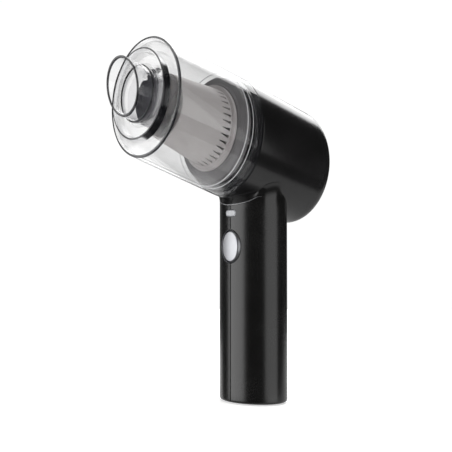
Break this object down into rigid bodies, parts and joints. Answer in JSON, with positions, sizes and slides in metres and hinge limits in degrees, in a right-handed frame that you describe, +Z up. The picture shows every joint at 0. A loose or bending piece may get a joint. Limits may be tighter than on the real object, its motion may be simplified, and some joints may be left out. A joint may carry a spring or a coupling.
{
  "type": "handheld vacuum",
  "caption": "Cordless pistol-grip hand vacuum with a clear pull-off dust cup, short inlet tube with flap, washable filter, front power button and battery handle.",
  "frame": {"origin": "centre of the rest pad's underside, on the vertical axis of the handle", "axes": "+Z up along the handle, -Y towards the inlet mouth (front), +X to the right seen from the front towards +Y; the barrel rises 16.5 degrees towards -Y"},
  "size_m": [0.0624, 0.1209, 0.1894],
  "materials": {
    "shell_black": "gloss black moulded plastic with a faint satin grain",
    "inner_black": "satin black plastic",
    "rubber_black": "matt soft rubber",
    "smoke_clear": "clear smoke-grey plastic, polished",
    "bright_trim": "bright plated plastic",
    "steel": "plain steel",
    "nickel_strip": "thin nickel strip",
    "cell_can": null,
    "pale_plastic": "pale grey moulded plastic",
    "filter_paper": "folded filter paper",
    "foam": "open black foam",
    "board": "green circuit board",
    "lens_milky": "milky translucent lens",
    "lamp": "small indicator lamp die"
  },
  "bodies": {
    "main_unit": {"handle_left_shell": "shell_black", "handle_right_shell": "shell_black", "handle_base_cap": "inner_black", "base_pad": "rubber_black", "battery_cradle": "inner_black", "base_screw_left": "steel", "base_screw_right": "steel", "battery_cell_left": "cell_can", "battery_cell_right": "cell_can", "cell_link_plate": "nickel_strip", "control_board": "board", "charge_board": "board", "usb_socket": "steel", "led_emitter": "lamp", "led_lens": "lens_milky", "tact_switch": "inner_black", "button_bezel": "bright_trim", "barrel_housing": "shell_black", "exhaust_grille": "inner_black", "exhaust_filter": "foam", "front_collar": "shell_black", "collar_seal": "rubber_black", "fan_shroud": "inner_black", "motor_plate": "inner_black", "motor_can": "steel", "motor_end_bell": "inner_black", "motor_screw_left": "steel", "motor_screw_right": "steel"},
    "button": {"power_button": "bright_trim"},
    "fan": {"impeller": "inner_black", "motor_shaft": "steel"},
    "cup": {"dust_cup": "smoke_clear", "inlet_tube": "smoke_clear", "flap_pin": "steel"},
    "flap": {"inlet_flap": "rubber_black"},
    "filter": {"filter_frame": "pale_plastic", "filter_pleats": "filter_paper", "filter_end_cap": "pale_plastic", "prefilter_cone": "pale_plastic"}
  },
  "joints": [
    {"name": "button_press", "type": "slide", "parent": "main_unit", "child": "button", "axis": [0, 1, 0], "range_m": [0, 0.0009], "stiffness_N_per_m": 1500},
    {"name": "fan_spin", "type": "hinge", "parent": "main_unit", "child": "fan", "pos_m": [0, 0, 0.1374], "axis": [0, -0.9588, 0.284], "continuous": true},
    {"name": "cup_pull", "type": "slide", "parent": "main_unit", "child": "cup", "axis": [0, -0.9588, 0.284], "range_m": [0, 0.08]},
    {"name": "flap_swing", "type": "hinge", "parent": "cup", "child": "flap", "pos_m": [0, -0.06645, 0.17242], "axis": [1, 0, 0], "range_deg": [0, 40], "stiffness_Nm_per_rad": 0.003},
    {"name": "filter_pull", "type": "slide", "parent": "main_unit", "child": "filter", "axis": [0, -0.9588, 0.284], "range_m": [0, 0.036]}
  ],
  "couplings": [
    {"joint": "filter_pull", "follows": "cup_pull", "ratio": 0.45}
  ]
}
